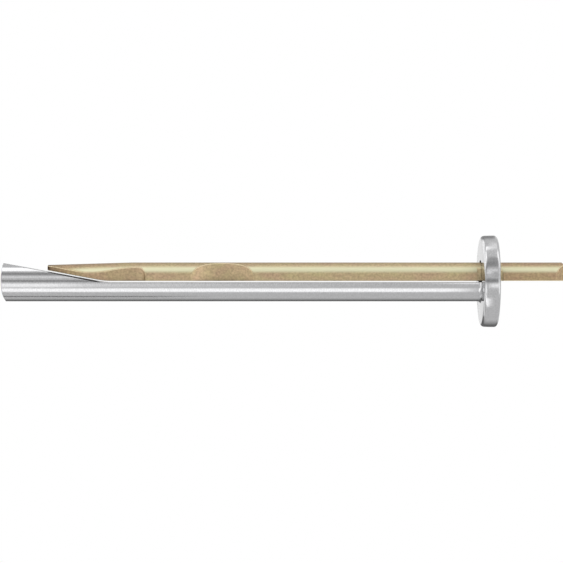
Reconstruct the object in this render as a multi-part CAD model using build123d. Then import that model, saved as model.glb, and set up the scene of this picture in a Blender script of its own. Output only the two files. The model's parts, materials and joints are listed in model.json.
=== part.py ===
from build123d import *
from build123d.topology import SkipClean
from math import radians, sqrt, tan
import os

# A hammer-set wedge anchor: a cold-formed steel body and the half-round pin that spreads it.
#
# The body hangs on its head. Its shank is half round, flat side up, and ends in a full-round tip
# whose upper side is cut by a ramp. The pin lies on the flat and passes through the head. Driven
# in, it bends at a coined neck and its wedge climbs the ramp, so the tip jams in the drilled hole.
#
# Millimetres. X runs along the shank: 0 is the head's underside, the nose is at -X and the striking
# end at +X. Z is up, with 0 on the shank's axis, and Y runs across.

# Anchor body
shank_radius = 3.0            # slides into a 6 mm drilled hole
shank_length = 71.86          # head's underside to nose
flat_height = -0.12           # flat of the half-round shank, from the axis
ramp_length = 15.61           # nose to the foot of the ramp
ramp_angle = 10.6             # degrees
ramp_foot_radius = 10.8       # blend between flat and ramp
nose_dome_radius = 10.0
nose_edge_fillet = 0.95
guide_length = 8.2            # leading part of the tip, where the wall is still nearly a full circle
junction_fillet = 0.45        # shank to head
head_radius = 6.86
head_thickness = 2.45
head_underside_fillet = 0.68  # rim to underside, wider than rim to top
head_top_fillet = 0.45

# Driving pin
pin_gap = 0.22                # between the pin and the flat or ramp under it
pin_crown_clearance = 0.18    # the crown lies this far inside the shank's circle
striking_length = 10.0        # pin standing out behind the head
tip_setback = 7.08            # nose of the body to the wedge's tip
crown_drop_length = 12.4      # front stretch over which the crown falls
crown_drop = 0.37             # how far it has fallen at the wedge's tip

# Coined side flats of the wedge, as half widths of the pin
wedge_tip_half_width = 0.86
wedge_shoulder_half_width = 1.97
wedge_shoulder_setback = 3.2       # behind the tip, as are the next two setbacks
wedge_belly_half_width = 2.385     # where the metal was squeezed out
wedge_belly_setback = 7.4
wedge_waist_half_width = 1.93      # parallel from here to the step
wedge_waist_setback = 13.1
wedge_flat_length = 14.76          # tip to the step at the rear of the flats
wedge_step_radius = 1.05

# Coined bending neck
neck_from_ramp_foot = 17.67
neck_radius = 7.2             # of the two round dies
neck_half_width = 0.88        # left between them

# Notch flats where the pin passes through the head
notch_front = 0.7             # ahead of the head's underside
notch_rear = 0.73             # behind the head's top
notch_depth = 0.7
notch_rear_depth = 0.4        # at the rear end, where the flats run out
notch_run_out = 1.3           # length of that shallower stretch
notch_end_slope = 0.06        # how far the upright ends lean

# Pinched and deburred striking end
pinch_length = 1.55
pinch_width = 1.43
crown_chamfer_length = 0.3
crown_chamfer_height = 0.24

# D-shaped hole through the head
hole_side_clearance = 0.18
hole_crown_clearance = 0.38

# Worked out from the sizes above
nose_x = -shank_length
guide_end_x = nose_x + guide_length
ramp_foot_x = nose_x + ramp_length
tip_rear_x = ramp_foot_x + ramp_foot_radius * tan(radians(ramp_angle / 2))
pin_bottom = flat_height + pin_gap
pin_radius = shank_radius - pin_crown_clearance - pin_bottom
pin_tip_x = nose_x + tip_setback
pin_rear_x = head_thickness + striking_length
neck_x = ramp_foot_x + neck_from_ramp_foot
hole_radius = pin_radius + hole_side_clearance
hole_centre_height = pin_bottom + hole_crown_clearance - hole_side_clearance
beyond = 2 * head_radius      # how far cutting tools overshoot


def nearest_corner(sketch, x, y):
    """The corner of a flat sketch that is nearest to a point."""
    return sketch.vertices().sort_by_distance((x, y, 0))[0]


def rounded(sketch, x, y, radius):
    """The sketch with the corner at a point rounded."""
    return fillet(nearest_corner(sketch, x, y), radius)


def side_view(sketch):
    """A sketch of (X, Z) stood upright on the middle plane."""
    return Plane.XZ * sketch


def space_above_flat(lift, from_x, to_x):
    """All that lies above the ramp and the flat once both are raised by lift."""
    rise = (ramp_foot_x - from_x) * tan(radians(ramp_angle))
    floor = flat_height + lift
    outline = Polyline(
        (from_x, floor + rise),
        (ramp_foot_x, floor),
        (to_x, floor),
        (to_x, beyond),
        (from_x, beyond),
        close=True,
    )
    sketch = rounded(make_face(outline), ramp_foot_x, floor, ramp_foot_radius)
    return extrude(side_view(sketch), beyond, both=True)


def turned(half):
    """A half section of (X, radius) turned about the shank's axis."""
    return revolve(side_view(half), Axis.X)


def guide_stretch():
    """The leading part of the tip, with its domed nose."""
    dome_setback = nose_dome_radius - sqrt(nose_dome_radius**2 - shank_radius**2)
    nose_rim = (nose_x + dome_setback, shank_radius)
    dome = RadiusArc((nose_x, 0), nose_rim, nose_dome_radius)
    outline = Polyline(
        nose_rim,
        (guide_end_x, shank_radius),
        (guide_end_x, 0),
        (nose_x, 0),
    )
    return turned(rounded(make_face([dome, outline]), *nose_rim, nose_edge_fillet))


def tip_rear():
    """The rest of the full-round tip, back to where the flat begins."""
    outline = Polyline(
        (guide_end_x, 0),
        (guide_end_x, shank_radius),
        (tip_rear_x, shank_radius),
        (tip_rear_x, 0),
        close=True,
    )
    return turned(make_face(outline))


def shank_and_head():
    """The shank behind the tip, and the head with its rounded rim."""
    outline = Polyline(
        (tip_rear_x, 0),
        (tip_rear_x, shank_radius),
        (0, shank_radius),
        (0, head_radius),
        (head_thickness, head_radius),
        (head_thickness, 0),
        close=True,
    )
    half = rounded(make_face(outline), 0, shank_radius, junction_fillet)
    half = rounded(half, 0, head_radius, head_underside_fillet)
    half = rounded(half, head_thickness, head_radius, head_top_fillet)
    return turned(half)


def pin_hole():
    """D-shaped hole through the head, its floor level with the flat."""
    walls = Rectangle(
        2 * hole_radius,
        hole_centre_height - flat_height,
        align=(Align.CENTER, Align.MIN),
    )
    crown = Pos(0, hole_centre_height - flat_height) * Circle(hole_radius)
    keep_up = Rectangle(2 * beyond, beyond, align=(Align.CENTER, Align.MIN))
    outline = walls + (crown & Pos(0, hole_centre_height - flat_height) * keep_up)
    return extrude(Plane.YZ * Pos(0, flat_height) * outline, beyond)


def anchor_body():
    """The body in one piece."""
    above = space_above_flat(0, nose_x - beyond, 0)
    shank = shank_and_head() - above - pin_hole()
    # Without the clean-up, the walls of the three stretches stay faces of their own.
    with SkipClean():
        tip = guide_stretch() + tip_rear() - above
        return tip + shank


def half_round_bar():
    """The pin's round side before coining: straight, then with its crown falling to the tip."""
    drop_start_x = pin_tip_x + crown_drop_length
    section = Plane.YZ.offset(drop_start_x) * Pos(0, pin_bottom) * Circle(pin_radius)
    straight = extrude(section, pin_rear_x - drop_start_x)
    fall = Vector(-crown_drop_length, 0, -crown_drop)
    falling = extrude(section, fall.length, dir=fall)
    return straight + falling


def both_sides(plan):
    """A cutter from a plan sketch of one side of the pin, mirrored to the other side."""
    cutter = extrude(plan, beyond, both=True)
    return cutter + mirror(cutter, about=Plane.XZ)


def wedge_flats():
    """What coining took off the two sides of the wedge."""
    waist_x = pin_tip_x + wedge_waist_setback
    step_x = pin_tip_x + wedge_flat_length
    nose = ThreePointArc(
        (pin_tip_x, wedge_tip_half_width),
        (pin_tip_x + wedge_shoulder_setback, wedge_shoulder_half_width),
        (pin_tip_x + wedge_belly_setback, wedge_belly_half_width),
    )
    back = Spline(
        nose @ 1,
        (waist_x, wedge_waist_half_width),
        tangents=[nose % 1, (1, 0)],
    )
    rest = Polyline(
        back @ 1,
        (step_x, wedge_waist_half_width),
        (step_x, beyond),
        (pin_tip_x - 1, beyond),
        (pin_tip_x - 1, wedge_tip_half_width),
        nose @ 0,
    )
    plan = make_face([nose, back, rest])
    plan = rounded(plan, step_x, wedge_waist_half_width, wedge_step_radius)
    return both_sides(plan)


def neck_arches():
    """What the two round dies took off the sides at the bending neck."""
    die = Pos(neck_x, neck_half_width + neck_radius) * Circle(neck_radius)
    return both_sides(die)


def head_notches():
    """The shallow flats where the pin passes through the head."""
    front = -notch_front
    rear = head_thickness + notch_rear
    inner = pin_radius - notch_depth
    outline = Polyline(
        (front, pin_radius),
        (front + notch_end_slope, inner),
        (rear - notch_run_out, inner),
        (rear - notch_end_slope, pin_radius - notch_rear_depth),
        (rear, pin_radius),
        (rear, beyond),
        (front, beyond),
        close=True,
    )
    return both_sides(make_face(outline))


def striking_end_bevels():
    """The two pinched sides and the deburred crown of the rear end."""
    pinch = Polyline(
        (pin_rear_x - pinch_length, pin_radius),
        (pin_rear_x, pin_radius - pinch_width),
        (pin_rear_x, pin_radius),
        close=True,
    )
    top = pin_bottom + pin_radius
    crown = Polyline(
        (pin_rear_x - crown_chamfer_length, top),
        (pin_rear_x, top - crown_chamfer_height),
        (pin_rear_x, top),
        close=True,
    )
    crown_cutter = extrude(side_view(make_face(crown)), beyond, both=True)
    return both_sides(make_face(pinch)) + crown_cutter


def driving_pin():
    """The whole pin, as it is before it is driven."""
    pin = half_round_bar() & space_above_flat(pin_gap, pin_tip_x, pin_rear_x)
    return pin - wedge_flats() - neck_arches() - head_notches() - striking_end_bevels()


def main():
    os.makedirs("parts", exist_ok=True)
    pin = driving_pin()
    neck_plane = Plane.YZ.offset(neck_x)
    pieces = {
        "anchor_body": anchor_body(),
        "pin_shank": split(pin, bisect_by=neck_plane, keep=Keep.TOP),
        "pin_wedge": split(pin, bisect_by=neck_plane, keep=Keep.BOTTOM),
    }
    for name, piece in pieces.items():
        export_step(piece, f"parts/{name}.step")


main()
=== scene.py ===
# %% [markdown]
# # Hammer-set wedge anchor
# A steel anchor for a 6 mm hole. It has two real pieces: a bright zinc-plated body with a round
# head, and a yellow-chromated half-round pin that lies on the body's flat and passes through the
# head. A hammer drives the pin in, its wedge climbs the ramp, and the tip jams in the hole.
#
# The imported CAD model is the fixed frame. Both pieces are built around it in metres, in the same
# place, and stand for the CAD solids.

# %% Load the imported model
import json
from itertools import pairwise
from math import atan2, ceil, cos, pi, radians, sin, sqrt, tan

import bmesh
import bpy
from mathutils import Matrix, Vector

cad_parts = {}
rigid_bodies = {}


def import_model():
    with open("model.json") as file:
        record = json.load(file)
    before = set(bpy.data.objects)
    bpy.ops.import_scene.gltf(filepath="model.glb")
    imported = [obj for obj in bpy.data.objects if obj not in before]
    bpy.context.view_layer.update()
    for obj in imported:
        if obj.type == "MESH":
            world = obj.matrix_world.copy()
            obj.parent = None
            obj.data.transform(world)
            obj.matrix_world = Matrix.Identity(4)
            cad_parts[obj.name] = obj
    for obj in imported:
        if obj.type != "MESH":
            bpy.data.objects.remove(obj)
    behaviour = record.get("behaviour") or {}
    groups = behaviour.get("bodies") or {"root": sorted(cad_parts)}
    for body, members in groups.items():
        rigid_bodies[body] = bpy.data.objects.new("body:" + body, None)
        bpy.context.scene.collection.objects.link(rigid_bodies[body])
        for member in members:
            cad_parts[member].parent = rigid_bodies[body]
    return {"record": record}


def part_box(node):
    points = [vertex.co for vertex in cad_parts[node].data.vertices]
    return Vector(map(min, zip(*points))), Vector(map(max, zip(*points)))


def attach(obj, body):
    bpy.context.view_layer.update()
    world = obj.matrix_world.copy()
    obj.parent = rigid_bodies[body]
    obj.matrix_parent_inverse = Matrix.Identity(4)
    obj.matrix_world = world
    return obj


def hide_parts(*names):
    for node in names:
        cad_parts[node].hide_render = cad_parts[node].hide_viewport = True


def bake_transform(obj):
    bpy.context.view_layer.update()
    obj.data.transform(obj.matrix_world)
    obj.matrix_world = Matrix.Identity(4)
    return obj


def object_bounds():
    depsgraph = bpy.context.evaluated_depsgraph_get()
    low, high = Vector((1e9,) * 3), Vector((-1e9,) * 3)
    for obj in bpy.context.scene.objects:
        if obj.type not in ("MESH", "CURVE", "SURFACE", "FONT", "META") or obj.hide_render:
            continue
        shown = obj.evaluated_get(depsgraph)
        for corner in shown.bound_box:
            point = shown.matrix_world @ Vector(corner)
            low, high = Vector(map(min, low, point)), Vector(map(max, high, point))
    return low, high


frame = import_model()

MM = 0.001
cad_low, cad_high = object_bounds()
print("CAD box in mm:", [round(v / MM, 2) for v in (*cad_low, *cad_high)])

# %% [markdown]
# ## Where everything is
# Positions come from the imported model: the boxes of its three nodes, the radius of the shank's
# mount, and the ratio of the joint that lifts the wedge, which is the slope of the ramp. X runs
# along the shank with 0 at the head's underside, and Z is up with 0 on the shank's axis.

# %% Read places from the frame
body_low, body_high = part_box("anchor_body")
rear_low, rear_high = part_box("pin_shank")
wedge_low, wedge_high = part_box("pin_wedge")
record = frame["record"]

nose_x = body_low.x
head_top_x = body_high.x
head_radius = min(body_high.y, -body_low.z)
shank_radius = record["mounts"][0]["dims"]["r_mm"] * MM
ramp_slope = record["behaviour"]["couplings"][0]["ratio"]

tip_x = wedge_low.x
pin_rear_x = rear_high.x
neck_x = wedge_high.x
pin_radius = rear_high.y
pin_bottom = rear_low.z
pin_crown = rear_high.z
print(f"nose {nose_x / MM:.2f}, wedge tip {tip_x / MM:.2f}, neck {neck_x / MM:.2f} mm")

# %% [markdown]
# ## Sizes of the body
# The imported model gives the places, and these are the maker's own sizes between them: the height
# of the flat, the ramp, and the radii that the forming dies leave. They are needed early, because
# the finishes and the pin follow the ramp too.

# %% Sizes of the body
flat_height = -0.12 * MM            # of the half-round shank's flat, from the axis
ramp_length = 15.61 * MM            # nose to the foot of the ramp
ramp_foot_radius = 10.8 * MM        # blend between flat and ramp
nose_edge = 0.1 * MM
junction_fillet = 0.45 * MM         # shank to head
head_underside_fillet = 0.55 * MM   # rim to underside, wider than rim to top
head_top_fillet = 0.45 * MM
flat_edge = 0.1 * MM                # radius of the long edges beside the flat
ramp_edge = 0.22 * MM               # and beside the ramp
ramp_foot_x = nose_x + ramp_length
print(f"ramp's foot {ramp_foot_x / MM:.2f} mm, slope {ramp_slope:.4f}")

# %% [markdown]
# ## One rule for both bars
# Both pieces start as round wire. Dies flatten one side, press the two sides of the pin to a half
# width, and leave every edge a little rounded. So one Geometry Nodes tree can make both: it sweeps
# a ring of points along a path and places each point by the rule, from sizes that each station of
# the path carries. The points of the ring share out the flat, the rounded edge, the pressed side,
# the next edge and the round crown, so every edge is a row of points and stays crisp.

# %% Helpers that add any node, and the three kinds that are used most
def add_node(tree, kind, inputs=None, **settings):
    """Add a node, set its properties, and give its inputs values or links."""
    node = tree.nodes.new(kind)
    for name, value in settings.items():
        setattr(node, name, value)
    for key, value in (inputs or {}).items():
        if isinstance(value, bpy.types.Node):
            value = value.outputs[0]
        if isinstance(value, bpy.types.NodeSocket):
            tree.links.new(value, node.inputs[key])
        else:
            node.inputs[key].default_value = value
    return node


def add_math(tree, operation, *values):
    """Add a math node that works on values or links, in the order of its inputs."""
    return add_node(tree, "ShaderNodeMath", dict(enumerate(values)), operation=operation)


def add_mix(tree, kind, share, low, high):
    """Add a node that mixes two numbers (FLOAT) or two colours (RGBA)."""
    first = {"FLOAT": 2, "RGBA": 6}[kind]
    inputs = {0: share, first: low, first + 1: high}
    return add_node(tree, "ShaderNodeMix", inputs, data_type=kind)


def add_range(tree, value, from_min, from_max, to_min=0.0, to_max=1.0):
    """Add a node that maps a value from one range to another."""
    inputs = {"Value": value, "From Min": from_min, "From Max": from_max}
    return add_node(tree, "ShaderNodeMapRange", {**inputs, "To Min": to_min, "To Max": to_max})


# %% The tree's named inputs
bar_tree = bpy.data.node_groups.new("pressed_bar", "GeometryNodeTree")
bar_tree.interface.new_socket("Geometry", in_out="OUTPUT", socket_type="NodeSocketGeometry")
bar_inputs = {
    "Path": "NodeSocketGeometry",
    "Flat rows": "NodeSocketInt",
    "First edge rows": "NodeSocketInt",
    "Side rows": "NodeSocketInt",
    "Second edge rows": "NodeSocketInt",
    "Crown rows": "NodeSocketInt",
    "Up or down": "NodeSocketFloat",
    "Close ends": "NodeSocketBool",
    "Material": "NodeSocketMaterial",
}
for input_name, socket_type in bar_inputs.items():
    bar_tree.interface.new_socket(input_name, in_out="INPUT", socket_type=socket_type)
given = add_node(bar_tree, "NodeGroupInput").outputs
print("pressed_bar inputs:", ", ".join(bar_inputs))

# %% Count the rows of half a ring, from the middle of the flat to the crown
row_ends = [given["Flat rows"]]
for stretch in ("First edge rows", "Side rows", "Second edge rows", "Crown rows"):
    row_end = add_math(bar_tree, "ADD", row_ends[-1], given[stretch])
    row_ends.append(row_end)
half_ring = row_ends[-1]
whole_ring = add_math(bar_tree, "MULTIPLY", half_ring, 2.0)

# %% Sweep the ring along the path
ring = add_node(bar_tree, "GeometryNodeCurvePrimitiveCircle", {"Resolution": whole_ring})
numbered_ring = add_node(
    bar_tree,
    "GeometryNodeStoreNamedAttribute",
    {"Geometry": ring, "Name": "row", "Value": add_node(bar_tree, "GeometryNodeInputIndex")},
    data_type="FLOAT",
    domain="POINT",
)
line = add_node(bar_tree, "GeometryNodeMeshToCurve", {"Mesh": given["Path"]})
skin = add_node(
    bar_tree,
    "GeometryNodeCurveToMesh",
    {"Curve": line, "Profile Curve": numbered_ring, "Fill Caps": given["Close ends"]},
)
print("sweep:", len(bar_tree.nodes), "nodes so far")

# %% Read what each station carries
station_sizes = (
    "station",       # place along the shank
    "bar_radius",    # of the round wire here
    "centre_height", # of that wire's centre
    "flat_height",   # where the flat cuts it
    "half_width",    # left between the side dies
    "edge_round",    # radius of the long edges
    "end_round",     # how far the skin has drawn in where an end is rounded
    "tone",          # of the finish: redder and darker below 0, paler above
)
carried = {
    size: add_node(
        bar_tree, "GeometryNodeInputNamedAttribute", {"Name": size}, data_type="FLOAT"
    )
    for size in station_sizes
}
print("each station carries", len(carried), "sizes")

# %% Number the rows from the middle of the flat, on either hand
row = add_node(bar_tree, "GeometryNodeInputNamedAttribute", {"Name": "row"}, data_type="FLOAT")
half_row = add_math(bar_tree, "PINGPONG", row, half_ring)
rows_left = add_math(bar_tree, "SUBTRACT", half_ring, row)
hand = add_math(bar_tree, "SIGN", rows_left)

# %% How far this row is through each stretch of the ring, from 0 to 1
shares = [
    add_range(bar_tree, half_row, start, end)
    for start, end in pairwise([0.0, *row_ends])
]
along_flat, round_edge, up_side, round_next, over_crown = shares
print("a ring has", len(shares), "stretches on each side")

# %% [markdown]
# The rule itself rolls a small die round the section. Its centre follows an inner outline that is
# one edge radius inside the skin, and the skin is one edge radius out from it along the normal.
# The inner outline has two corners: where the flat meets the side, and where the side meets the
# crown's arc. At a corner the die's centre rests and only its normal turns, which rounds the edge.

# %% The inner outline's first corner
inner_radius = add_math(bar_tree, "SUBTRACT", carried["bar_radius"], carried["edge_round"])
inner_flat = add_math(bar_tree, "ADD", carried["flat_height"], carried["edge_round"])
flat_from_centre = add_math(bar_tree, "SUBTRACT", inner_flat, carried["centre_height"])
flat_sine = add_math(bar_tree, "DIVIDE", flat_from_centre, inner_radius)
flat_sine = add_node(
    bar_tree, "ShaderNodeClamp", {"Value": flat_sine, "Min": -1.0, "Max": 1.0}
)
flat_level = add_math(bar_tree, "MULTIPLY", inner_radius, flat_sine)
flat_angle = add_math(bar_tree, "ARCSINE", flat_sine)
flat_cosine = add_math(bar_tree, "COSINE", flat_angle)
arc_half_width = add_math(bar_tree, "MULTIPLY", inner_radius, flat_cosine)
die_half_width = add_math(bar_tree, "SUBTRACT", carried["half_width"], carried["edge_round"])
corner_y = add_math(bar_tree, "MINIMUM", arc_half_width, die_half_width)
first_angle = add_math(bar_tree, "MINIMUM", flat_angle, 0.0)
print("first corner:", len(bar_tree.nodes), "nodes so far")

# %% Its second corner
crown_cosine = add_math(bar_tree, "DIVIDE", corner_y, inner_radius)
crown_cosine = add_node(
    bar_tree, "ShaderNodeClamp", {"Value": crown_cosine, "Min": -1.0, "Max": 1.0}
)
crown_angle = add_math(bar_tree, "ARCCOSINE", crown_cosine)
flat_side = add_math(bar_tree, "SIGN", flat_angle)
second_angle = add_math(bar_tree, "MULTIPLY", crown_angle, flat_side)
second_sine = add_math(bar_tree, "SINE", second_angle)
second_from_centre = add_math(bar_tree, "MULTIPLY", inner_radius, second_sine)
print("second corner:", len(bar_tree.nodes), "nodes so far")

# %% The normal's angle at this row
edge_angle = add_mix(bar_tree, "FLOAT", round_edge, -pi / 2, first_angle)
side_angle = add_mix(bar_tree, "FLOAT", round_next, edge_angle, second_angle)
normal_angle = add_mix(bar_tree, "FLOAT", over_crown, side_angle, pi / 2)
arc_angle = add_mix(bar_tree, "FLOAT", over_crown, second_angle, pi / 2)

# %% The die's centre at this row
arc_cosine = add_math(bar_tree, "COSINE", arc_angle)
arc_sine = add_math(bar_tree, "SINE", arc_angle)
arc_y = add_math(bar_tree, "MULTIPLY", inner_radius, arc_cosine)
arc_from_centre = add_math(bar_tree, "MULTIPLY", inner_radius, arc_sine)
flat_y = add_math(bar_tree, "MULTIPLY", corner_y, along_flat)
start_cosine = add_math(bar_tree, "COSINE", second_angle)
start_y = add_math(bar_tree, "MULTIPLY", inner_radius, start_cosine)
over_y = add_math(bar_tree, "SUBTRACT", arc_y, start_y)
centre_y = add_math(bar_tree, "ADD", flat_y, over_y)
side_from_centre = add_mix(bar_tree, "FLOAT", up_side, flat_level, second_from_centre)
over_z = add_math(bar_tree, "SUBTRACT", arc_from_centre, second_from_centre)
centre_z = add_math(bar_tree, "ADD", side_from_centre, over_z)
centre_z = add_math(bar_tree, "ADD", centre_z, carried["centre_height"])

# %% Step out along the normal and place the point
die_radius = add_math(bar_tree, "SUBTRACT", carried["edge_round"], carried["end_round"])
normal_y = add_math(bar_tree, "COSINE", normal_angle)
normal_z = add_math(bar_tree, "SINE", normal_angle)
skin_y = add_math(bar_tree, "MULTIPLY_ADD", normal_y, die_radius, centre_y)
skin_z = add_math(bar_tree, "MULTIPLY_ADD", normal_z, die_radius, centre_z)
place_y = add_math(bar_tree, "MULTIPLY", skin_y, hand)
place_z = add_math(bar_tree, "MULTIPLY", skin_z, given["Up or down"])
place = add_node(
    bar_tree, "ShaderNodeCombineXYZ", {"X": carried["station"], "Y": place_y, "Z": place_z}
)
placed = add_node(bar_tree, "GeometryNodeSetPosition", {"Geometry": skin, "Position": place})
print("whole rule:", len(bar_tree.nodes), "nodes so far")

# %% Note for the finishes which part of the section each point is on
least_press = 0.02 * MM  # a side pressed in by less than this has no painted edge highlight
pressed_depth = add_math(bar_tree, "SUBTRACT", arc_half_width, die_half_width)
is_pressed = add_math(bar_tree, "GREATER_THAN", pressed_depth, least_press)
into_edge = add_math(bar_tree, "PINGPONG", round_next, 1.0)
past_edge = add_math(bar_tree, "SUBTRACT", 1.0, round_next)
edge_hump = add_math(bar_tree, "MULTIPLY", into_edge, past_edge)
level_face = add_math(bar_tree, "SUBTRACT", 1.0, round_edge)
low_hump = add_math(bar_tree, "MULTIPLY", round_edge, level_face)
painted_edge_highlight = add_math(bar_tree, "MULTIPLY_ADD", edge_hump, is_pressed, low_hump)
notes = {"level_face": level_face, "painted_edge_highlight": painted_edge_highlight, "on_crown": over_crown}
noted = placed
for note, value in notes.items():
    noted = add_node(
        bar_tree,
        "GeometryNodeStoreNamedAttribute",
        {"Geometry": noted, "Name": note, "Value": value},
        data_type="FLOAT",
        domain="POINT",
    )
print("noted on each point:", ", ".join(notes))

# %% Close the poles and hand over a plain mesh
weld_distance = 0.0008 * MM  # only points that share one place lie closer than this
welded = add_node(
    bar_tree, "GeometryNodeMergeByDistance", {"Geometry": noted, "Distance": weld_distance}
)
real = add_node(bar_tree, "GeometryNodeRealizeInstances", {"Geometry": welded})
painted = add_node(
    bar_tree, "GeometryNodeSetMaterial", {"Geometry": real, "Material": given["Material"]}
)
add_node(bar_tree, "NodeGroupOutput", {"Geometry": painted})
print("pressed_bar tree:", len(bar_tree.nodes), "nodes")


# %% Build a path that carries its sizes, and run the tree on it
def press_bar(name, stations, settings):
    """A plain mesh of a bar from its list of stations, each a tuple of station_sizes."""
    path = bpy.data.meshes.new(name)
    points = [(station[0], 0, 0) for station in stations]
    path.from_pydata(points, list(pairwise(range(len(points)))), [])
    for size, values in zip(station_sizes, zip(*stations)):
        path.attributes.new(size, "FLOAT", "POINT").data.foreach_set("value", values)
    bar = bpy.data.objects.new(name, path)
    bpy.context.scene.collection.objects.link(bar)
    press = bar.modifiers.new("pressed_bar", "NODES")
    press.node_group = bar_tree
    for item in bar_tree.interface.items_tree:
        if item.in_out == "INPUT" and item.name in settings:
            press[item.identifier] = settings[item.name]
    depsgraph = bpy.context.evaluated_depsgraph_get()
    bar.data = bpy.data.meshes.new_from_object(bar.evaluated_get(depsgraph))
    bar.data.name = name
    bar.modifiers.clear()
    print(name, len(bar.data.vertices), "vertices,", len(bar.data.polygons), "faces")
    return bar


def spread(events, pitch):
    """Stations between the places where a bar changes, closer together near each of them."""
    places = []
    for start, end in pairwise(sorted(events)):
        count = max(4, ceil((end - start) / pitch))
        places += [start + (end - start) * (1 - cos(pi * i / count)) / 2 for i in range(count)]
    return places + [max(events)]


# %% [markdown]
# ## Finishes
# Both pieces are zinc plated steel, so both are metals that mirror the studio, and most of what
# the eye sees on them is its bright and dark cards. What tells them apart is the passivation:
# blue-white on the body, yellow chromate on the pin. A texture painted by hand would need an
# unwrapped mesh. Noise on object coordinates needs none, has a true scale in millimetres, and
# stays put in every view.

# %% Colours
def to_linear(colour):
    """An sRGB hex colour as the linear RGBA that shaders take."""
    channels = [int(colour[i : i + 2], 16) / 255 for i in (1, 3, 5)]
    linear = [c / 12.92 if c <= 0.04045 else ((c + 0.055) / 1.055) ** 2.4 for c in channels]
    return (*linear, 1.0)


print("sRGB #808080 is", round(to_linear("#808080")[0], 3), "in linear light")

# %% [markdown]
# ### Bright zinc-plated steel
# Cold-formed wire, tumbled and plated blue-white. Drawing left fine lines along it and tumbling a
# fine grain, so the eye sees a bright metal whose highlights have slightly ragged edges. One noise
# drawn out along the shank gives the lines and a rounder one the grain, and both together are the
# bump. Painted shade darkens the ramp's edge under the wedge, where the wedge shadows it and its
# dark underside is mirrored in it, and the walls of the hole, where shade stands deep inside.

# %% The body's material
zinc = bpy.data.materials.new("bright_zinc_plated_steel")
zinc.use_nodes = True
tree = zinc.node_tree
tree.nodes.clear()
where = add_node(tree, "ShaderNodeTexCoord").outputs["Object"]

# %% Its drawn lines and tumbled grain
# The lines are 0.2 mm apart and 17 mm long, and the grain is 0.1 by 0.3 mm. The real ones are
# several times finer, and these are as coarse as they need to be to show.
lines_along = 0.06 / MM
lines_across = 5 / MM
grains_along = 8 / MM
grains_across = 3.5 / MM
lines_at = add_node(
    tree,
    "ShaderNodeMapping",
    {"Vector": where, "Scale": (lines_along, lines_across, lines_across)},
)
draw_lines = add_node(
    tree, "ShaderNodeTexNoise", {"Vector": lines_at, "Scale": 1.0, "Detail": 3.0}
)
grain_at = add_node(
    tree,
    "ShaderNodeMapping",
    {"Vector": where, "Scale": (grains_along, grains_across, grains_across)},
)
grain = add_node(tree, "ShaderNodeTexNoise", {"Vector": grain_at, "Scale": 1.0, "Detail": 2.0})
relief = add_math(tree, "ADD", draw_lines, grain)
zinc_roughness = add_node(
    tree, "ShaderNodeMapRange", {"Value": draw_lines, "To Min": 0.11, "To Max": 0.2}
)
zinc_bump = add_node(
    tree, "ShaderNodeBump", {"Height": relief, "Strength": 0.35, "Distance": 0.004 * MM}
)
zinc_colour = add_mix(tree, "RGBA", grain, to_linear("#9a9a9b"), to_linear("#c1c1c2"))

# %% Painted shade along the ramp's edge, from under the wedge's tip to the ramp's foot
# level_face is 1 on the flat or ramp and falls to 0 round its long edge. Painted shade lies
# between, standing for the wedge's shadow and its dark underside mirrored in the ramp.
tip_fade = 0.5 * MM
foot_fade = 1.2 * MM
spot = add_node(tree, "ShaderNodeSeparateXYZ", {"Vector": where})
behind_tip = add_node(
    tree,
    "ShaderNodeMapRange",
    {"Value": spot.outputs["X"], "From Min": tip_x, "From Max": tip_x + tip_fade},
    interpolation_type="SMOOTHSTEP",
)
before_foot = add_node(
    tree,
    "ShaderNodeMapRange",
    {"Value": spot.outputs["X"], "From Min": ramp_foot_x, "From Max": ramp_foot_x - foot_fade},
    interpolation_type="SMOOTHSTEP",
)
face_note = add_node(tree, "ShaderNodeAttribute", attribute_name="level_face")
on_edge = add_range(tree, face_note.outputs["Fac"], 0.02, 0.08)
off_face = add_range(tree, face_note.outputs["Fac"], 1.0, 0.97)
on_face = add_math(tree, "MULTIPLY", on_edge, off_face)
under_wedge = add_math(tree, "MULTIPLY", behind_tip, before_foot)
painted_shade = add_math(tree, "MULTIPLY", under_wedge, on_face)

# %% Painted shade in its hole
# All of the head's metal this near to the axis is wall of the hole, painted dark as its shade.
hole_zone = shank_radius + 0.25 * MM
hole_zone_top = head_top_x - 0.15 * MM
underside_fade = 0.05 * MM
section_place = add_node(
    tree,
    "ShaderNodeCombineXYZ",
    {"X": 0.0, "Y": spot.outputs["Y"], "Z": spot.outputs["Z"]},
)
from_axis = add_node(tree, "ShaderNodeVectorMath", {0: section_place}, operation="LENGTH")
near_axis = add_math(tree, "LESS_THAN", from_axis.outputs["Value"], hole_zone)
past_underside = add_range(tree, spot.outputs["X"], 0.0, underside_fade)
before_top = add_math(tree, "LESS_THAN", spot.outputs["X"], hole_zone_top)
in_hole = add_math(tree, "MULTIPLY", near_axis, past_underside)
in_hole = add_math(tree, "MULTIPLY", in_hole, before_top)
painted_shade = add_math(tree, "MAXIMUM", painted_shade, in_hole)

# %% Put the body's finish together
# Where shade is painted it is a rough dark skin, and everywhere else it is metal.
zinc_colour = add_mix(tree, "RGBA", painted_shade, zinc_colour.outputs[2], to_linear("#141312"))
zinc_metal = add_math(tree, "SUBTRACT", 1.0, painted_shade)
zinc_roughness = add_math(tree, "MAXIMUM", zinc_roughness, painted_shade)
zinc_shader = add_node(
    tree,
    "ShaderNodeBsdfPrincipled",
    {
        "Base Color": zinc_colour.outputs[2],
        "Metallic": zinc_metal,
        "Roughness": zinc_roughness,
        "Normal": zinc_bump,
    },
)
add_node(tree, "ShaderNodeOutputMaterial", {"Surface": zinc_shader})
print("zinc finish:", len(tree.nodes), "nodes")
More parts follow.
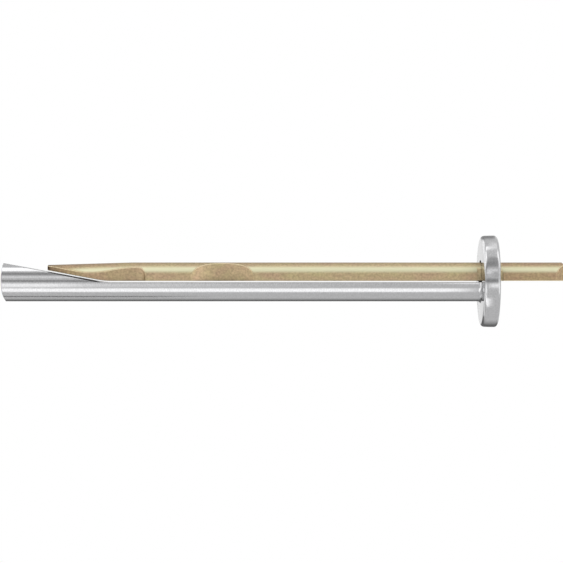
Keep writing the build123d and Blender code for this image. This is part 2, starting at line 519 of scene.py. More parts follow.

# %% [markdown]
# ### Yellow-chromated zinc
# Half-round wire, zinc plated and passivated in a yellow chromate bath. To the eye it is a satin
# metal of a dull straw colour that wanders between pinkish and olive over a few millimetres. The
# film is browner where it ran thick at the wedge's end. A paler, greener painted highlight lies
# along the crown's flanks, and more painted highlight lightens the pressed edges and the notches.
# The press tree has noted on each point which part of the section it is on and how its tone runs
# along the pin, so these follow the shape.

# %% The pin's material
chromate = bpy.data.materials.new("yellow_zinc_plated_steel")
chromate.use_nodes = True
tree = chromate.node_tree
tree.nodes.clear()
where = add_node(tree, "ShaderNodeTexCoord").outputs["Object"]
spot = add_node(tree, "ShaderNodeSeparateXYZ", {"Vector": where})

# %% Its tone along the pin
# Pressed sides are paler, at the notches as a painted highlight, but not the round crown above
# them.
tone = add_node(tree, "ShaderNodeAttribute", attribute_name="tone")
crown_note = add_node(tree, "ShaderNodeAttribute", attribute_name="on_crown")
crown = add_range(tree, crown_note.outputs["Fac"], 0.0, 0.1)
paler = add_math(tree, "MAXIMUM", tone.outputs["Fac"], 0.0)
not_here = add_math(tree, "MULTIPLY", paler, crown)
tone_here = add_math(tree, "SUBTRACT", tone.outputs["Fac"], not_here)
tone_place = add_range(tree, tone_here, -2.0, 2.0)
tone_colour = add_node(tree, "ShaderNodeValToRGB", {"Fac": tone_place})
tones = tone_colour.color_ramp.elements
for place, colour in ((0.25, "#a48e70"), (0.5, "#af9d7c"), (0.75, "#bfab87")):
    tones.new(place).color = to_linear(colour)
tones[0].color = to_linear("#54452f")
tones[-1].color = to_linear("#d2c39c")

# %% Its patches and grain
# Patches of the film are about 3 by 1.5 mm. The grain is 0.3 mm, coarser than the real one.
patches_along = 0.35 / MM
patches_across = 0.7 / MM
film_grains = 3.3 / MM
patches_at = add_node(
    tree,
    "ShaderNodeMapping",
    {"Vector": where, "Scale": (patches_along, patches_across, patches_across)},
)
patches = add_node(tree, "ShaderNodeTexNoise", {"Vector": patches_at, "Scale": 1.0, "Detail": 3.0})
grain = add_node(
    tree, "ShaderNodeTexNoise", {"Vector": where, "Scale": film_grains, "Detail": 2.0}
)
patch_hue = add_range(tree, patches, 0.3, 0.7, 0.482, 0.516)
grain_value = add_range(tree, grain, 0.25, 0.75, 0.75, 1.25)
mottled = add_node(
    tree,
    "ShaderNodeHueSaturation",
    {"Hue": patch_hue, "Value": grain_value, "Color": tone_colour},
)

# %% Its painted highlight on the flanks
# A paler, greener band is painted where the overhead softbox's highlight falls on the crown: a
# painted highlight, with the film's greener sheen at that angle.
highlight_height = 1.67 * MM  # middle of the painted highlight's band, from the wire's centre
highlight_reach = 0.68 * MM   # from there to where it ends
highlight_core = 0.1 * MM     # and to where it is full
highlight_start = tip_x + 1.8 * MM
highlight_full = tip_x + 5.5 * MM
centre_note = add_node(tree, "ShaderNodeAttribute", attribute_name="centre_height")
above_centre = add_math(tree, "SUBTRACT", spot.outputs["Z"], centre_note.outputs["Fac"])
off_highlight = add_math(tree, "SUBTRACT", above_centre, highlight_height)
off_highlight = add_math(tree, "ABSOLUTE", off_highlight)
highlight_band = add_node(
    tree,
    "ShaderNodeMapRange",
    {"Value": off_highlight, "From Min": highlight_reach, "From Max": highlight_core},
    interpolation_type="SMOOTHSTEP",
)
behind_wedge_end = add_node(
    tree,
    "ShaderNodeMapRange",
    {"Value": spot.outputs["X"], "From Min": highlight_start, "From Max": highlight_full},
    interpolation_type="SMOOTHSTEP",
)
highlight_band = add_math(tree, "MULTIPLY", highlight_band, behind_wedge_end)
painted_highlight = add_math(tree, "MULTIPLY", highlight_band, crown)
with_painted_highlight = add_mix(tree, "RGBA", painted_highlight, mottled, to_linear("#c3c0a2"))

# %% Its painted highlights along the edges, and the pin's finish put together
# The rounded edges are painted lighter, as the highlight that they catch.
edge_note = add_node(tree, "ShaderNodeAttribute", attribute_name="painted_edge_highlight")
edge_highlight = add_node(
    tree,
    "ShaderNodeMapRange",
    {"Value": edge_note.outputs["Fac"], "From Min": 0.03, "From Max": 0.2, "To Max": 0.9},
)
highlighted_edges = add_mix(tree, "RGBA", edge_highlight, with_painted_highlight.outputs[2], to_linear("#e0d4b4"))
chromate_roughness = add_node(
    tree, "ShaderNodeMapRange", {"Value": patches, "To Min": 0.42, "To Max": 0.52}
)
chromate_bump = add_node(
    tree, "ShaderNodeBump", {"Height": grain, "Strength": 0.4, "Distance": 0.006 * MM}
)
chromate_shader = add_node(
    tree,
    "ShaderNodeBsdfPrincipled",
    {
        "Base Color": highlighted_edges.outputs[2],
        "Metallic": 1.0,
        "Roughness": chromate_roughness,
        "Normal": chromate_bump,
    },
)
add_node(tree, "ShaderNodeOutputMaterial", {"Surface": chromate_shader})
print("chromate finish:", len(tree.nodes), "nodes")

# %% [markdown]
# ## The anchor body
# On the real anchor this is one length of steel wire. A die flattens its upper side along the
# shank, leaves the tip round but for the ramp, and upsets the other end into a round head with a
# D-shaped hole. It could be cut from a cylinder with Booleans, but those leave ragged long edges.
# The pressed-bar tree gives clean ones, so it makes the shank and the tip, and is turned upside
# down for it: there the flat is on top and the round side below.

# %% The floor of the half-round shank
def floor_height(x):
    """Height of the flat, the blend at the ramp's foot or the ramp."""
    angle = atan2(ramp_slope, 1)
    reach = ramp_foot_radius * tan(angle / 2)
    blend_end = ramp_foot_x + reach
    if x >= blend_end:
        return flat_height
    if x <= ramp_foot_x - reach * cos(angle):
        return flat_height + (ramp_foot_x - x) * ramp_slope
    across = x - blend_end
    return flat_height + ramp_foot_radius - sqrt(ramp_foot_radius**2 - across**2)


ramp_top = floor_height(nose_x)
print(f"flat at {flat_height / MM:.2f} mm, top of the ramp at {ramp_top / MM:.2f} mm")

# %% The long edges, rounder along the ramp than along the flat
edge_change = 1.5 * MM  # to either side of the ramp's foot


def edge_at(x):
    """Radius of the body's long edges."""
    share = min(1.0, max(0.0, (ramp_foot_x + edge_change - x) / (2 * edge_change)))
    return flat_edge + (ramp_edge - flat_edge) * share


# %% [markdown]
# The nose is cropped from the wire rather than turned. Seen from the side it is slightly round,
# and it leans back more below than above, with a crisp edge all round. Its two sides lie back too.
# So the tree makes it square, and its points are then slid back along the bar by a rule of their
# height and their place across.

# %% The nose's outline by place
face_rows = 12          # from the middle of the nose to its edge
face_step = 0.001 * MM  # two stations can't share one place, so the face's are this far apart


def quarter_turn(steps):
    """Angles from 0 to 90 degrees in equal steps."""
    return [pi / 2 * i / steps for i in range(steps + 1)]


def nose_outline():
    """Place and radius of the square nose and its small rounded edge."""
    face_radius = shank_radius - nose_edge
    face = [(nose_x + face_step * i, face_radius * i / face_rows) for i in range(face_rows)]
    edge_x = nose_x + 1.2 * face_step  # the face is flat to a hundredth of a millimetre
    edge = [
        (edge_x + nose_edge * (1 - cos(angle)), face_radius + nose_edge * sin(angle))
        for angle in quarter_turn(6)
    ]
    return face + edge


# %% How far the cropped nose lies back
front_height = 0.45 * MM  # its foremost line, from the axis
upper_lean = 0.076        # above that line, by the square of the height in millimetres
lower_lean = 0.019        # below it, by the cube
side_lean = 0.41          # in millimetres at its two sides


def nose_recess(across, height):
    """Setback of a point of the nose: at its sides, above its foremost line, and more so below."""
    above = (height - front_height) / MM
    lean = upper_lean * above**2 if above > 0 else -lower_lean * above**3
    return (lean + side_lean * (across / shank_radius) ** 2) * MM


nose_bottom = nose_recess(0.0, -shank_radius)
print(f"nose lies back {nose_bottom / MM:.2f} mm at its lowest point")


# %% The fillet between shank and head
def junction_outline():
    """Place and radius of the fillet."""
    return [
        (-junction_fillet * (1 - sin(angle)), shank_radius + junction_fillet * (1 - cos(angle)))
        for angle in quarter_turn(8)
    ]


# %% Stations of the shank and the tip
body_pitch = 0.6 * MM
free = 1.0        # a half width that no die reaches, so nothing is pressed there
most_edge = 0.4   # share of the radius that a rounded edge may take, near the nose's middle
nose = nose_outline()
junction = junction_outline()
reach = ramp_foot_radius * tan(atan2(ramp_slope, 1) / 2)
changes = [nose[-1][0], ramp_foot_x - reach, ramp_foot_x + reach, junction[0][0]]
straight = spread(changes, body_pitch)
outline = nose + [(x, shank_radius) for x in straight[1:-1]] + junction
body_stations = [
    (x, radius, 0.0, -floor_height(x), free, min(edge_at(x), most_edge * radius), 0.0, 0.0)
    for x, radius in outline
]
print("body:", len(body_stations), "stations")

# %% Press the shank and the tip
body = press_bar(
    "zinc_anchor_body",
    body_stations,
    {
        "Flat rows": 14,
        "First edge rows": 6,
        "Side rows": 1,
        "Second edge rows": 1,
        "Crown rows": 40,
        "Up or down": -1.0,
        "Close ends": False,
        "Material": zinc,
    },
)

# %% [markdown]
# ## The head and its hole
# The head is a thick disc, cold-headed from the same wire, so its rim is rounded and bulges by a
# hair. The hole through it is D-shaped like the pin, with its floor level with the flat. The disc
# is built ring by ring, and flat faces are filled between the rings and the hole's mouth. That
# joins it to the shank as one closed skin, which a separate disc would not.

# %% Open the mesh and crop the nose
# Points near the end of the ramp come down as they slide back, so they stay on the ramp.
lean_length = 2 * MM           # over which the setback runs out to nothing
on_ramp = 0.8 * shank_radius   # points higher than this come down
shape = bmesh.new()
shape.from_mesh(body.data)
slid = [v for v in shape.verts if v.co.x < nose_x + lean_length]
for v in slid:
    setback = nose_recess(v.co.y, v.co.z) * (1 - (v.co.x - nose_x) / lean_length)
    v.co.x += setback
    if v.co.z > on_ramp:
        v.co.z -= ramp_slope * setback
print("slid back:", len(slid), "of", len(shape.verts), "points")

# %% Find the open end of the shank and the floor of the hole
hole_half_width = 2.9 * MM
hole_centre = 0.3 * MM
hair = 1e-7  # metres, less than between any two points
open_ring = [v for v in shape.verts if v.is_boundary]
print("open ring:", len(open_ring), "vertices, x from", min(v.co.x for v in open_ring))
floor_row = [v for v in open_ring if abs(v.co.z - flat_height) < hair]
floor_row.sort(key=lambda v: v.co.y)
edges_of_hole = []
for y in (-hole_half_width, hole_half_width):
    corner = min(floor_row, key=lambda v: abs(v.co.y - y))
    corner.co.y = y
    edges_of_hole.append(corner)
hole_floor = [v for v in floor_row if abs(v.co.y) <= hole_half_width + hair]
print("floor of the hole:", len(hole_floor), "vertices")

# %% Rings of the hole
wall_rows = 4
arch_rows = 48


def hole_arch(x, grow):
    """Walls and crown of the hole at x, grown outwards, from one floor corner to the other."""
    width = hole_half_width + grow
    foot = flat_height - grow
    wall = [(width, foot + (hole_centre - foot) * i / wall_rows) for i in range(1, wall_rows)]
    angles = [pi * i / arch_rows for i in range(arch_rows + 1)]
    crown = [(width * cos(angle), hole_centre + width * sin(angle)) for angle in angles]
    walls_and_crown = wall + crown + [(-y, z) for y, z in reversed(wall)]
    return [shape.verts.new((x, y, z)) for y, z in walls_and_crown]


def hole_ring(x, grow):
    """The whole D at x, starting at the floor corner on the +Y side."""
    width = hole_half_width + grow
    floor = [
        shape.verts.new((x, v.co.y * width / hole_half_width, flat_height - grow))
        for v in hole_floor
    ]
    return hole_arch(x, grow), floor


def join_rings(first, second):
    """Quads between two closed rings with as many points."""
    for i in range(len(first)):
        j = (i + 1) % len(first)
        shape.faces.new((first[i], first[j], second[j], second[i]))


# %% Line the hole, with a rounded mouth at the head's top
mouth_round = 0.12 * MM
arch = hole_arch(0.0, 0.0)
hole_rings = [arch + hole_floor]
for angle in quarter_turn(5):
    x = head_top_x - mouth_round * (1 - sin(angle))
    arch_here, floor_here = hole_ring(x, mouth_round * (1 - cos(angle)))
    hole_rings.append(arch_here + floor_here)
for first, second in pairwise(hole_rings):
    join_rings(first, second)
print("hole:", len(hole_rings), "rings of", len(hole_rings[0]), "points")

# %% Outline of the rim
# It is barely crowned: a few hundredths of a millimetre lower beside the underside.
low_rim = 0.035 * MM
rim_rise = [(1.0 * MM, 0.014 * MM), (1.35 * MM, 0.003 * MM)]  # place, and how much lower it is


def rim_fillet(radius):
    """Setback from the head's face and radius from the axis along a rounded rim."""
    return [
        (radius * (1 - cos(angle)), head_radius - radius * (1 - sin(angle)))
        for angle in quarter_turn(8)
    ]


rim = [(x, r - low_rim) for x, r in rim_fillet(head_underside_fillet)]
rim += [(x, head_radius - lower) for x, lower in rim_rise]
rim += [(head_top_x - x, r) for x, r in reversed(rim_fillet(head_top_fillet))]

# %% Turn the rim
around = 160
rim_rings = [
    [
        shape.verts.new((x, r * sin(2 * pi * i / around), r * cos(2 * pi * i / around)))
        for i in range(around)
    ]
    for x, r in rim
]
for first, second in pairwise(rim_rings):
    join_rings(first, second)
print("rim:", len(rim_rings), "rings of", around, "points")

# %% Fill the two flat faces of the head
inside_z = -1 * MM  # a height inside the shank, to sort the points of its outline around


def ring_edges(ring_points):
    """The edges of a closed ring of points."""
    pairs = zip(ring_points, ring_points[1:] + ring_points[:1])
    return [shape.edges.get(pair) or shape.edges.new(pair) for pair in pairs]


outer_arc = [v for v in open_ring if v not in hole_floor or v in edges_of_hole]
outer_arc.sort(key=lambda v: atan2(v.co.y, inside_z - v.co.z))
footprint = outer_arc + arch
bmesh.ops.triangle_fill(
    shape, use_beauty=True, edges=ring_edges(rim_rings[0]) + ring_edges(footprint)
)
bmesh.ops.triangle_fill(
    shape, use_beauty=True, edges=ring_edges(rim_rings[-1]) + ring_edges(hole_rings[-1])
)

# %% Check the body and hand its mesh back
# Past this angle a corner stays crisp, and a gentler one is shaded smooth.
sharp_angle = radians(35)
bmesh.ops.recalc_face_normals(shape, faces=shape.faces)
open_edges = [e for e in shape.edges if not e.is_manifold]
volume = shape.calc_volume() / MM**3
print("body's open edges:", len(open_edges), "volume in mm3:", round(volume, 1))
shape.to_mesh(body.data)
shape.free()
body.data.shade_smooth()
body.data.set_sharp_from_angle(angle=sharp_angle)

# %% [markdown]
# ## The driving pin
# The pin is half-round wire with an electroplated yellow film. Coining dies have pressed its sides
# in three places: the wedge at the front, the neck where it bends when it is driven in, and shallow
# notches where it passes through the head. Its rear end is pinched and deburred for the hammer.
# All of these only change the section's half width, its flat's height or its crown's height, so
# the pin is the same tree again with other stations. One mesh stands for both CAD nodes of the
# pin, because the real one is a single piece.

# %% Sizes of the pin
pin_drop = 0.04 * MM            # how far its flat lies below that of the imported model
pin_gap = pin_bottom - flat_height - pin_drop
pin_edge = 0.1 * MM             # radius of the long edges
end_edge = 0.08 * MM            # and of the edges round both ends
crown_drop_length = 12.4 * MM   # front stretch over which the crown falls
crown_drop = 0.37 * MM          # how far it has fallen at the wedge's tip
neck_radius = 7.2 * MM          # of the two round dies
neck_half_width = 0.88 * MM     # left between them
notch_front = -0.7 * MM
notch_rear = head_top_x + 0.73 * MM
notch_depth = 0.7 * MM
notch_rear_depth = 0.4 * MM     # at the rear end, where the flats run out
notch_run_out = 1.3 * MM        # length of that shallower stretch
notch_end_slope = 0.06 * MM     # how far the upright ends lean
pinch_length = 1.55 * MM        # of the pinched striking end
pinch_width = 1.43 * MM
chamfer_length = 0.3 * MM       # of its deburred crown
chamfer_height = 0.24 * MM
notch_length = notch_rear - notch_front
print(f"gap under the pin {pin_gap / MM:.2f} mm, notches {notch_length / MM:.2f} mm long")

# %% Half widths that coining left along the wedge, from its tip to the step behind it
wedge_tip = 0.86 * MM
shoulder_x = tip_x + 3.2 * MM
wedge_shoulder = 1.97 * MM
belly_x = tip_x + 7.4 * MM      # where the metal was squeezed out
wedge_belly = 2.385 * MM
waist_x = tip_x + 13.1 * MM     # parallel from here to the step
wedge_waist = 1.93 * MM
step_x = tip_x + 14.76 * MM
step_radius = 1.05 * MM
print(f"wedge's waist from {waist_x / MM:.2f} to {step_x / MM:.2f} mm")


# %% The wedge, seen from above: an arc, an easing curve and a rounded step
def circle_through(a, b, c):
    """Centre and radius of the circle through three points of a plane."""
    (ax, ay), (bx, by), (cx, cy) = a, b, c
    d = 2 * (ax * (by - cy) + bx * (cy - ay) + cx * (ay - by))
    a2, b2, c2 = ax * ax + ay * ay, bx * bx + by * by, cx * cx + cy * cy
    ux = (a2 * (by - cy) + b2 * (cy - ay) + c2 * (ay - by)) / d
    uy = (a2 * (cx - bx) + b2 * (ax - cx) + c2 * (bx - ax)) / d
    return ux, uy, sqrt((ax - ux) ** 2 + (ay - uy) ** 2)


arc_x, arc_side, arc_radius = circle_through(
    (tip_x, wedge_tip), (shoulder_x, wedge_shoulder), (belly_x, wedge_belly)
)


def wedge_width(x):
    """Half width that the wedge's side dies leave."""
    if x > step_x:
        return free
    if x <= belly_x:
        return arc_side + sqrt(arc_radius**2 - (x - arc_x) ** 2)
    if x > waist_x:
        into_step = min(max(0.0, x - (step_x - step_radius)), step_radius)
        return wedge_waist + step_radius - sqrt(step_radius**2 - into_step**2)
    slope = -(belly_x - arc_x) / (wedge_belly - arc_side)
    run = waist_x - belly_x
    t = (x - belly_x) / run
    start_pull = slope * run
    return (
        (2 * t**3 - 3 * t**2 + 1) * wedge_belly
        + (t**3 - 2 * t**2 + t) * start_pull
        + (3 * t**2 - 2 * t**3) * wedge_waist
    )


print(f"the wedge's sides are arcs of {arc_radius / MM:.1f} mm radius")


# %% The neck, the notches and the pinched end
def neck_width(x):
    """Half width that the two round dies leave at the bending neck."""
    across = abs(x - neck_x)
    if across >= neck_radius:
        return free
    return neck_half_width + neck_radius - sqrt(neck_radius**2 - across**2)


def notch_width(x):
    """Half width at the shallow notches where the pin passes through the head."""
    if not notch_front < x < notch_rear:
        return free
    run_out = max(0.0, x - (notch_rear - notch_run_out)) / (notch_run_out - notch_end_slope)
    depth = notch_depth - (notch_depth - notch_rear_depth) * min(1.0, run_out)
    end = min(x - notch_front, notch_rear - x)
    return pin_radius - min(depth, depth * end / notch_end_slope)


def pinch_width_at(x):
    """Half width at the pinched striking end."""
    inside = x - (pin_rear_x - pinch_length)
    return free if inside < 0 else pin_radius - pinch_width * inside / pinch_length


neck_reach = sqrt(neck_radius**2 - (neck_radius + neck_half_width - pin_radius) ** 2)
print(f"neck spans {2 * neck_reach / MM:.2f} mm, narrowest {2 * neck_half_width / MM:.2f} mm")


# %% Heights of the crown and the drawn-in ends
def crown_height(x):
    """Height of the pin's crown, which falls towards the wedge's tip and at the deburred end."""
    fall = max(0.0, tip_x + crown_drop_length - x) / crown_drop_length * crown_drop
    chamfer = max(0.0, x - (pin_rear_x - chamfer_length)) / chamfer_length * chamfer_height
    return pin_crown - fall - chamfer


def end_draw(x):
    """How far the skin draws in at the rounded edges of the two ends."""
    from_end = min(x - tip_x, pin_rear_x - x)
    if from_end >= end_edge:
        return 0.0
    return end_edge - sqrt(end_edge**2 - (end_edge - from_end) ** 2)


tip_crown = crown_height(tip_x)
print(f"crown at {tip_crown / MM:.2f} mm over the wedge's tip, {pin_crown / MM:.2f} mm behind it")

# %% The film's tone by place
# Tones run from -2, the brownest, to 2, the palest.
tip_tone = -2.0     # the film ran thick over the wedge's end
wedge_tone = -1.2   # and thins out along the wedge from here
# The notches are painted paler, as a highlight for the light their sides catch.
notch_highlight_tone = 1.6
rear_tone = -1.0
neck_tone = 0.3
neck_fade = 0.12    # share of the neck's half length over which its tone fades in
thick_end = tip_x + 0.2 * MM
wedge_film = tip_x + 0.6 * MM


def tone_at(x):
    """Tone of the film: brown at the wedge's end, paler where the neck was pressed, painted
    highlight at the notches.
    """
    if x < wedge_film:
        share = max(0.0, x - thick_end) / (wedge_film - thick_end)
        return tip_tone + share * (wedge_tone - tip_tone)
    if x < step_x:
        return wedge_tone * (step_x - x) / (step_x - wedge_film)
    if notch_front < x < 0.0 or head_top_x < x < notch_rear:
        return notch_highlight_tone
    if x > head_top_x:
        return rear_tone
    from_neck = abs(x - neck_x) / neck_reach
    return neck_tone * min(1.0, max(0.0, (1.0 - from_neck) / neck_fade))


# %% Stations of the pin, crowded where its shape changes
pin_pitch = 0.35 * MM
step_run = 0.01 * MM  # the step behind the wedge is all but sheer
events = [
    tip_x,
    tip_x + end_edge,
    thick_end,
    wedge_film,
    belly_x,
    tip_x + crown_drop_length,
    waist_x,
    step_x - step_radius,
    step_x,
    step_x + step_run,
    neck_x - neck_reach,
    neck_x,
    neck_x + neck_reach,
    notch_front,
    notch_front + notch_end_slope,
    0.0,
    head_top_x,
    notch_rear - notch_run_out,
    notch_rear - notch_end_slope,
    notch_rear,
    pin_rear_x - pinch_length,
    pin_rear_x - chamfer_length,
    pin_rear_x - end_edge,
    pin_rear_x,
]
pin_stations = []
for x in spread(events, pin_pitch):
    width = min(wedge_width(x), neck_width(x), notch_width(x), pinch_width_at(x))
    bottom = floor_height(x) + pin_gap
    centre = crown_height(x) - pin_radius
    pin_stations.append(
        (x, pin_radius, centre, bottom, width, pin_edge, end_draw(x), tone_at(x))
    )
print("pin:", len(pin_stations), "stations")

# %% Press the pin
pin = press_bar(
    "chromated_drive_pin",
    pin_stations,
    {
        "Flat rows": 8,
        "First edge rows": 5,
        "Side rows": 6,
        "Second edge rows": 5,
        "Crown rows": 22,
        "Up or down": 1.0,
        "Close ends": True,
        "Material": chromate,
    },
)

# %% Turn the pin's faces outwards and smooth it
shape = bmesh.new()
shape.from_mesh(pin.data)
bmesh.ops.recalc_face_normals(shape, faces=shape.faces)
open_edges = [e for e in shape.edges if not e.is_manifold]
volume = shape.calc_volume() / MM**3
print("pin's open edges:", len(open_edges), "volume in mm3:", round(volume, 1))
shape.to_mesh(pin.data)
shape.free()
pin.data.shade_smooth()
pin.data.set_sharp_from_angle(angle=sharp_angle)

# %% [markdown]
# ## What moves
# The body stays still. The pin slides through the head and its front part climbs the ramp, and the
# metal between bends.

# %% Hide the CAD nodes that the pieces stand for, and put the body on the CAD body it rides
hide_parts("anchor_body")
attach(body, "anchor_body")
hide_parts("pin_shank", "pin_wedge")
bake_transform(pin)
print("the pin bends between", round(neck_x / MM + 4, 1), "and", round(ramp_foot_x / MM, 1), "mm")

# %% [markdown]
# ## The studio
# Polished metal shows what stands round it. In a white room it would be flat white, so long cards
# stand parallel to the anchor: bright ones draw the streaks of light, dark ones draw the grey bands
# between them. Lamps could do the same, but they would also light the floor. The cards glow only
# in reflections and fade out at their edges through a cover attribute, as softboxes do.

# %% The white room
scene = bpy.context.scene
scene.view_settings.view_transform = "Standard"
world = bpy.data.worlds.new("white_studio")
world.use_nodes = True
world.node_tree.nodes["Background"].inputs["Color"].default_value = (1, 1, 1, 1)
world.node_tree.nodes["Background"].inputs["Strength"].default_value = 1.0
scene.world = world
print("view transform:", scene.view_settings.view_transform)

# %% A card on a stand
outer_ring = 250 * MM  # from the shank's axis
inner_ring = 240 * MM  # for a card that hangs in front of another


def card(name, rows, brightness, reach, distance=outer_ring):
    """A long light or flag parallel to the anchor, seen only in reflections.

    rows lists angles around the anchor in degrees, 0 towards the viewer and 90 overhead, with the
    card's cover there. reach lists places along X in millimetres with the cover there.
    """
    mesh = bpy.data.meshes.new(name)
    points = []
    cover = []
    for angle, side_cover in rows:
        out = Vector((0, -cos(radians(angle)), sin(radians(angle)))) * distance
        for x, end_cover in reach:
            points.append((x * MM, out.y, out.z))
            cover.append(side_cover * end_cover)
    columns = len(reach)
    faces = [
        (i * columns + j, i * columns + j + 1, (i + 1) * columns + j + 1, (i + 1) * columns + j)
        for i in range(len(rows) - 1)
        for j in range(columns - 1)
    ]
    mesh.from_pydata(points, [], faces)
    mesh.attributes.new("cover", "FLOAT", "POINT").data.foreach_set("value", cover)
    material = bpy.data.materials.new(name)
    material.use_nodes = True
    material.node_tree.nodes.clear()
    fade = add_node(material.node_tree, "ShaderNodeAttribute", attribute_name="cover")
    clear = add_node(material.node_tree, "ShaderNodeBsdfTransparent")
    glow = add_node(
        material.node_tree, "ShaderNodeEmission", {"Color": (1, 1, 1, 1), "Strength": brightness}
    )
    mixed = add_node(
        material.node_tree, "ShaderNodeMixShader", {0: fade.outputs["Fac"], 1: clear, 2: glow}
    )
    add_node(material.node_tree, "ShaderNodeOutputMaterial", {"Surface": mixed})
    mesh.materials.append(material)
    stand = bpy.data.objects.new(name, mesh)
    scene.collection.objects.link(stand)
    stand.visible_camera = False
    stand.visible_diffuse = False
    stand.visible_shadow = False


def soft(start, full, full_end, end):
    """Rows of a card that is full between two angles and fades out to two others."""
    return [(start, 0), (full, 1), (full_end, 1), (end, 0)]


# %% [markdown]
# A round bar turns angles double: a point that faces halfway up mirrors what is overhead. So the
# cards are listed by their angle round the anchor, and each makes one streak along it. Reaches are
# in millimetres along X. The head needs cards of its own, which fade out where the shank begins.
# The tip needs some too, because it is round underneath and cut by the ramp above.

# %% Cards overhead and in front
along = [(-135, 0), (-115, 1), (45, 1), (70, 0)]
far_along = [(-1600, 1), (45, 1), (70, 0)]
beside_head = [(-600, 1), (-95, 1), (-50, 0.05), (45, 0.05), (70, 1), (600, 1)]
strip_reach = [(-75, 0), (-50, 1), (-6, 1), (20, 0.05)]
flag_reach = [(-20, 0), (5, 1), (45, 1), (70, 0)]
rim_reach = [(6, 0), (14, 1), (60, 1), (90, 0)]
head_reach = [(-4, 0), (3, 1), (40, 1), (60, 0)]
low_reach = [(-95, 0), (-82, 1), (-0.5, 1), (3, 0)]
tip_reach = [(-110, 0), (-85, 1), (-69, 1), (-65, 0.5), (-60, 0.34), (-49, 0.27)]
tip_reach += [(-39, 0.17), (-28, 0.09), (-8, 0)]
card("overhead_softbox", soft(57, 64, 81, 88), 2.6, beside_head)
card("overhead_strip", soft(83, 88, 95, 98), 2.8, strip_reach, inner_ring)
card("overhead_back_card", soft(84, 90, 104, 122), 1.5, [(8, 0), (18, 1), (60, 1), (120, 0)])
card("upper_flag", soft(33, 39, 49, 54), 0.5, far_along)
card("head_upper_flag", soft(50, 54, 58, 66), 0.55, flag_reach, inner_ring)
card("front_card", soft(17, 20, 29, 31), 1.45, along)
card("head_front_flag", soft(10, 14, 22, 26), 0.85, rim_reach, inner_ring)
card("camera_flag", soft(-4, -1.5, 4.5, 8), 0.4, far_along)
card("head_front_card", soft(-16, -13, -8, -3), 1.9, head_reach, 60 * MM)
card("tip_card", soft(-38, -28, -16, -9), 2.0, tip_reach, 60 * MM)
card("front_low_card", soft(-64, -59, -42, -38), 2.2, low_reach, 40 * MM)
card("low_tip_flag", soft(-103, -100, -95, -92), 0.3, [(-300, 1), (-55, 1), (-42, 0)], 70 * MM)

# %% Cards behind and beyond both ends
back_reach = [(-102, 0), (-92, 1), (45, 1), (70, 0)]
high_reach = [(-250, 0), (-215, 1), (75, 1), (120, 0)]
left_high_reach = [(-1600, 1), (-290, 1), (-240, 0)]
left_low_reach = [(-1600, 1), (-108, 1), (-95, 0)]
card("back_low_flag", soft(-174, -170, -142, -112), 0.2, back_reach, 130 * MM)
card("back_high_flag", soft(126, 145, 172, 175), 0.4, high_reach, 700 * MM)
card("left_back_card", soft(105, 125, 172, 176), 1.8, left_high_reach, 710 * MM)
card("left_low_card", soft(-176, -172, -120, -105), 1.4, left_low_reach, 135 * MM)
left_rows = [
    (-105, 0), (-91, 0.5), (-72, 0.6), (-54, 0.9), (-22, 0.8), (-9, 0.5), (-4, 0), (54, 0),
    (67, 0.7), (86, 1), (110, 0.3), (125, 0),
]
right_rows = [(-75, 0), (-60, 1), (-7, 0.9), (5, 0.2), (50, 0.2), (67, 1), (86, 1), (110, 0)]
card("left_side_card", left_rows, 1.9, [(-1600, 1), (-140, 1), (-118, 0)])
card("right_side_card", right_rows, 1.9, [(110, 0), (150, 1), (1600, 1)])

# %% [markdown]
# ## The floor and the camera
# The floor is matt white and lies well below. Its middle is paint that can hold the anchor's
# shadow, and it fades into plain white towards its rim, so no view shows where it ends.

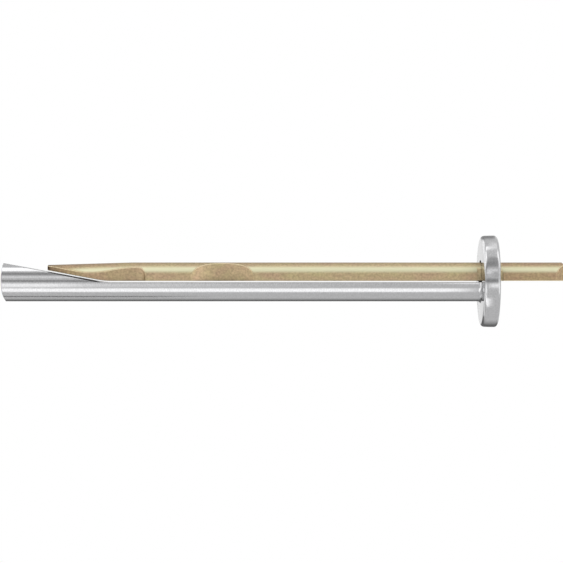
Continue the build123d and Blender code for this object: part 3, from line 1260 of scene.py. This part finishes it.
# %% Floor
floor_z = -140 * MM
floor_reach = 350 * MM
fade_start = 0.3 * floor_reach
fade_end = 0.95 * floor_reach
floor = bpy.data.meshes.new("studio_floor")
corners = [
    (x * floor_reach, y * floor_reach, floor_z) for x, y in ((-1, -1), (1, -1), (1, 1), (-1, 1))
]
floor.from_pydata(corners, [], [(0, 1, 2, 3)])

# %% Its paint, which fades into white
floor_paint = bpy.data.materials.new("matt_white_floor")
floor_paint.use_nodes = True
tree = floor_paint.node_tree
tree.nodes.clear()
where = add_node(tree, "ShaderNodeTexCoord").outputs["Object"]
spot = add_node(tree, "ShaderNodeSeparateXYZ", {"Vector": where})
flat_place = add_node(
    tree, "ShaderNodeCombineXYZ", {"X": spot.outputs["X"], "Y": spot.outputs["Y"], "Z": 0.0}
)
from_middle = add_node(tree, "ShaderNodeVectorMath", {0: flat_place}, operation="LENGTH")
into_white = add_node(
    tree,
    "ShaderNodeMapRange",
    {"Value": from_middle.outputs["Value"], "From Min": fade_start, "From Max": fade_end},
    interpolation_type="SMOOTHSTEP",
)
paint = add_node(
    tree, "ShaderNodeBsdfPrincipled", {"Base Color": to_linear("#fbfbfb"), "Roughness": 0.8}
)
white = add_node(tree, "ShaderNodeEmission", {"Color": (1, 1, 1, 1), "Strength": 1.0})
faded = add_node(tree, "ShaderNodeMixShader", {0: into_white, 1: paint, 2: white})
add_node(tree, "ShaderNodeOutputMaterial", {"Surface": faded})
floor.materials.append(floor_paint)
floor_object = bpy.data.objects.new("studio_floor", floor)
scene.collection.objects.link(floor_object)
print(f"floor {2 * floor_reach:.1f} m wide, {-floor_z / MM:.0f} mm below the axis")

# %% Camera, level with the shank and square to it
camera_data = bpy.data.cameras.new("camera")
camera = bpy.data.objects.new("camera", camera_data)
scene.collection.objects.link(camera)
scene.camera = camera
view_distance = 317 * MM
view_width = 84.4 * MM
view_left = 0.095 * MM  # of the middle of the anchor's length
view_low = 0.03 * MM    # below the axis
camera_data.sensor_width = 36.0
camera_data.lens = camera_data.sensor_width * view_distance / view_width
middle_x = (cad_low.x + cad_high.x) / 2 - view_left
camera.location = (middle_x, -view_distance, -view_low)
camera.rotation_euler = (pi / 2, 0, 0)
print(f"lens {camera_data.lens:.1f} mm, {view_width / MM:.1f} mm wide at the anchor")
